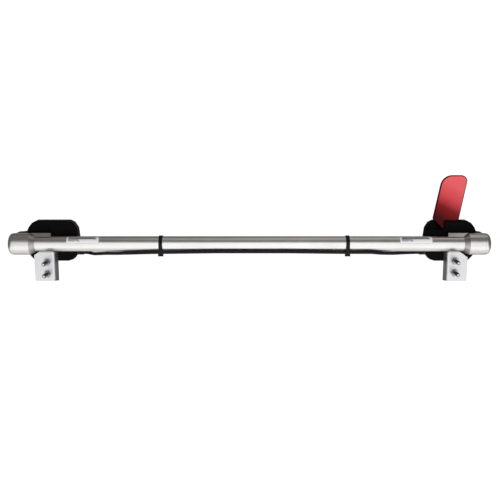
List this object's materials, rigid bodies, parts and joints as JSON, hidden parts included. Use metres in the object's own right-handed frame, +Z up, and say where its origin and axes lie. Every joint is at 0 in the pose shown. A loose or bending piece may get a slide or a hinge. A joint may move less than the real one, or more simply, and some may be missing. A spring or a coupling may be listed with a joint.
{
  "type": "pull up bar",
  "caption": "straight pull-up bar with spring-loaded end sleeves, a red release lever, a cable to the far end, bolted end brackets and black housings",
  "frame": {"origin": "middle of the bar tube's axis", "axes": "+X along the bar to the lever's end, -Y the front that carries the stud ends and stickers, +Z up"},
  "size_m": [1, 0.086, 0.223],
  "materials": {
    "tube_metal": "satin anodised",
    "sleeve_metal": "satin anodised",
    "collar": "satin anodised",
    "bracket_metal": "satin plated",
    "zinc_steel": "zinc plated",
    "spring_steel": "oiled spring steel",
    "housing_plastic": "fine texture",
    "lever_paint": "red metallic",
    "cable_jacket": "extruded",
    "tie_nylon": "moulded",
    "bronze": "sintered",
    "stop_rubber": "moulded",
    "sticker": "white film"
  },
  "bodies": {
    "bar": {"bar_tube": "tube_metal", "lever_pivot_bolt": "zinc_steel", "lever_pivot_nut": "zinc_steel", "lever_return_spring": "spring_steel", "lever_stops": "stop_rubber", "cable_casing": "cable_jacket", "left_tube_plug": "zinc_steel", "left_plug_screw": "zinc_steel", "left_nose_spring": "spring_steel", "left_saddle": "tube_metal", "left_bracket": "bracket_metal", "left_bracket_screws": "zinc_steel", "left_stud_bolts": "zinc_steel", "left_stud_washers": "zinc_steel", "left_stud_nuts": "zinc_steel", "left_housing_base": "housing_plastic", "left_housing_cover": "housing_plastic", "left_cover_screws": "zinc_steel", "left_housing_screws": "zinc_steel", "left_cable_ferrule": "zinc_steel", "left_cable_lock_nuts": "zinc_steel", "left_cable_tie": "tie_nylon", "left_label": "sticker", "right_tube_plug": "zinc_steel", "right_plug_screw": "zinc_steel", "right_nose_spring": "spring_steel", "right_saddle": "tube_metal", "right_bracket": "bracket_metal", "right_bracket_screws": "zinc_steel", "right_stud_bolts": "zinc_steel", "right_stud_washers": "zinc_steel", "right_stud_nuts": "zinc_steel", "right_housing_base": "housing_plastic", "right_housing_cover": "housing_plastic", "right_cover_screws": "zinc_steel", "right_housing_screws": "zinc_steel", "right_cable_ferrule": "zinc_steel", "right_cable_lock_nuts": "zinc_steel", "right_cable_tie": "tie_nylon", "right_label": "sticker"},
    "lever": {"lever": "lever_paint", "lever_bush": "bronze", "drive_pin": "zinc_steel", "wire_pin": "zinc_steel"},
    "right_nose": {"right_sleeve": "sleeve_metal", "right_nose_cap": "sleeve_metal", "right_sleeve_bush": "collar", "right_guide_screw": "zinc_steel", "right_drive_plate": "zinc_steel", "right_plate_screws": "zinc_steel"},
    "left_nose": {"left_sleeve": "sleeve_metal", "left_nose_cap": "sleeve_metal", "left_sleeve_bush": "collar", "left_guide_screw": "zinc_steel", "left_pull_plate": "zinc_steel", "left_plate_screws": "zinc_steel", "left_wire_end": "zinc_steel"},
    "right_wire": {"right_wire_end": "zinc_steel"}
  },
  "joints": [
    {"name": "lever_pivot", "type": "hinge", "parent": "bar", "child": "lever", "pos_m": [0.428, 0.034, 0.002], "axis": [0, -1, 0], "range_deg": [0, 30], "stiffness_Nm_per_rad": 1.5, "springref_deg": -14.32, "deforming": ["lever_return_spring"]},
    {"name": "right_nose_slide", "type": "slide", "parent": "bar", "child": "right_nose", "axis": [-1, 0, 0], "range_m": [0, 0.00602], "deforming": ["right_nose_spring"]},
    {"name": "left_nose_slide", "type": "slide", "parent": "bar", "child": "left_nose", "axis": [1, 0, 0], "range_m": [0, 0.00602], "deforming": ["left_nose_spring"]},
    {"name": "right_wire_slide", "type": "slide", "parent": "bar", "child": "right_wire", "axis": [1, 0, 0], "range_m": [0, 0.00602]}
  ],
  "couplings": [
    {"joint": "right_nose_slide", "follows": "lever_pivot", "m_per_rad": 0.011468},
    {"joint": "left_nose_slide", "follows": "lever_pivot", "m_per_rad": 0.011468},
    {"joint": "right_wire_slide", "follows": "lever_pivot", "m_per_rad": 0.011468}
  ]
}
